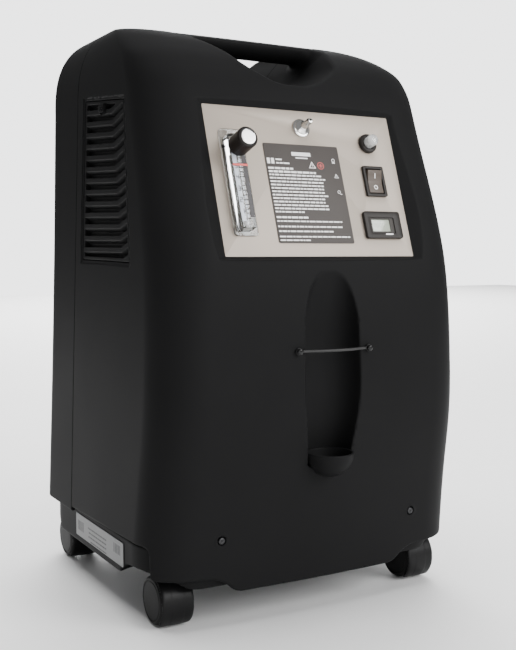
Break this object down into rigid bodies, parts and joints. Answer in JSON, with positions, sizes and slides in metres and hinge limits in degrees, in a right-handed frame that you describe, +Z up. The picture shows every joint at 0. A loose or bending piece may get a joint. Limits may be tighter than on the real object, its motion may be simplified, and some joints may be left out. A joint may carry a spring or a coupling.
{
  "type": "oxygen concentrator",
  "caption": "Stationary oxygen concentrator: black moulded casing on swivel casters, sloping control panel with flowmeter and switch, and a front bottle holder.",
  "frame": {"origin": "middle of the bounding box on the floor that the casters stand on", "axes": "+Z up, the control panel faces -Y, +X to the right when facing the front"},
  "size_m": [0.3622, 0.3784, 0.6],
  "materials": {
    "casing": "fine textured black moulding",
    "casing_dark": "black moulding",
    "plate": "satin warm grey sheet metal",
    "label_ink": null,
    "acrylic": "clear acrylic",
    "chrome": "polished",
    "steel": "zinc plated",
    "gloss_black": "gloss black",
    "rocker_brown": "dark brown",
    "rubber": "matt black rubber",
    "grey_plastic": "grey",
    "white_plastic": "off white",
    "lcd": "display window",
    "paper_label": null,
    "red": "red marker",
    "foam": "open-cell foam",
    "aluminium": "cast and drawn",
    "board": "green circuit board",
    "tyre": "hard black tread"
  },
  "bodies": {
    "chassis": {"front_shell": "casing", "rear_shell": "casing", "base_pan": "casing_dark", "handle_grip": "casing_dark", "foam_filter": "foam", "bottle_cup": "casing", "retaining_strap": "rubber", "rating_label": "paper_label", "strap_peg_left": "gloss_black", "strap_peg_right": "gloss_black", "front_screw_left": "steel", "front_screw_right": "steel", "rear_screw_1": "steel", "rear_screw_2": "steel", "rear_screw_3": "steel", "rear_screw_4": "steel", "control_panel": "plate", "panel_label": "label_ink", "flowmeter_body": "acrylic", "flow_marker": "red", "oxygen_outlet": "chrome", "breaker_bezel": "grey_plastic", "switch_bezel": "gloss_black", "hour_meter_case": "gloss_black", "hour_meter_display": "lcd", "compressor_motor": "aluminium", "compressor_head_left": "aluminium", "compressor_head_right": "aluminium", "compressor_tray": "steel", "fan_shroud": "casing_dark", "sieve_tank_left": "aluminium", "sieve_tank_right": "aluminium", "product_tank": "aluminium", "valve_manifold": "aluminium", "intake_filter": "white_plastic", "circuit_board": "board", "inner_divider": "steel", "power_inlet": "gloss_black", "feed_tube": "rubber", "product_tube": "rubber", "caster_stem_front_left": "steel", "caster_stem_front_right": "steel", "caster_stem_rear_left": "steel", "caster_stem_rear_right": "steel"},
    "grille": {"filter_grille": "casing_dark"},
    "latch": {"grille_latch": "casing_dark"},
    "knob": {"flow_knob": "gloss_black", "flow_knob_cap": "chrome"},
    "float": {"float_ball": "steel"},
    "button": {"breaker_button": "white_plastic"},
    "rocker": {"switch_rocker": "rocker_brown"},
    "fan": {"fan_rotor": "casing_dark"},
    "swivel_front_left": {"caster_hood_front_left": "casing_dark"},
    "wheels_front_left": {"caster_wheels_front_left": "tyre"},
    "swivel_front_right": {"caster_hood_front_right": "casing_dark"},
    "wheels_front_right": {"caster_wheels_front_right": "tyre"},
    "swivel_rear_left": {"caster_hood_rear_left": "casing_dark"},
    "wheels_rear_left": {"caster_wheels_rear_left": "tyre"},
    "swivel_rear_right": {"caster_hood_rear_right": "casing_dark"},
    "wheels_rear_right": {"caster_wheels_rear_right": "tyre"}
  },
  "joints": [
    {"name": "swivel_front_left_turn", "type": "hinge", "parent": "chassis", "child": "swivel_front_left", "pos_m": [-0.146, -0.08916, 0.05], "axis": [0, 0, 1], "continuous": true},
    {"name": "wheels_front_left_roll", "type": "hinge", "parent": "swivel_front_left", "child": "wheels_front_left", "pos_m": [-0.146, -0.10116, 0.024], "axis": [1, 0, 0], "continuous": true},
    {"name": "swivel_front_right_turn", "type": "hinge", "parent": "chassis", "child": "swivel_front_right", "pos_m": [0.146, -0.08916, 0.05], "axis": [0, 0, 1], "continuous": true},
    {"name": "wheels_front_right_roll", "type": "hinge", "parent": "swivel_front_right", "child": "wheels_front_right", "pos_m": [0.146, -0.10116, 0.024], "axis": [1, 0, 0], "continuous": true},
    {"name": "swivel_rear_left_turn", "type": "hinge", "parent": "chassis", "child": "swivel_rear_left", "pos_m": [-0.146, 0.16384, 0.05], "axis": [0, 0, 1], "continuous": true},
    {"name": "wheels_rear_left_roll", "type": "hinge", "parent": "swivel_rear_left", "child": "wheels_rear_left", "pos_m": [-0.146, 0.15184, 0.024], "axis": [1, 0, 0], "continuous": true},
    {"name": "swivel_rear_right_turn", "type": "hinge", "parent": "chassis", "child": "swivel_rear_right", "pos_m": [0.146, 0.16384, 0.05], "axis": [0, 0, 1], "continuous": true},
    {"name": "wheels_rear_right_roll", "type": "hinge", "parent": "swivel_rear_right", "child": "wheels_rear_right", "pos_m": [0.146, 0.15184, 0.024], "axis": [1, 0, 0], "continuous": true},
    {"name": "flow_knob_turn", "type": "hinge", "parent": "chassis", "child": "knob", "pos_m": [-0.086, -0.14526, 0.46202], "axis": [0, 0.9479, -0.3186], "range_deg": [0, 720]},
    {"name": "float_rise", "type": "slide", "parent": "chassis", "child": "float", "axis": [0, 0.3186, 0.9479], "range_m": [0, 0.062]},
    {"name": "breaker_press", "type": "slide", "parent": "chassis", "child": "button", "axis": [0, 0.9479, -0.3186], "range_m": [0, 0.003], "stiffness_N_per_m": 400},
    {"name": "rocker_tip", "type": "hinge", "parent": "chassis", "child": "rocker", "pos_m": [0.07675, -0.12784, 0.43068], "axis": [1, 0, 0], "range_deg": [-16, 0]},
    {"name": "grille_open", "type": "hinge", "parent": "chassis", "child": "grille", "pos_m": [-0.17086, 0.00584, 0.3495], "axis": [0, -1, 0], "range_deg": [0, 30]},
    {"name": "latch_slide", "type": "slide", "parent": "grille", "child": "latch", "axis": [0, 0, -1], "range_m": [0, 0.004], "stiffness_N_per_m": 300},
    {"name": "fan_spin", "type": "hinge", "parent": "chassis", "child": "fan", "pos_m": [0, 0.09784, 0.247], "axis": [0, 0, 1], "continuous": true}
  ]
}
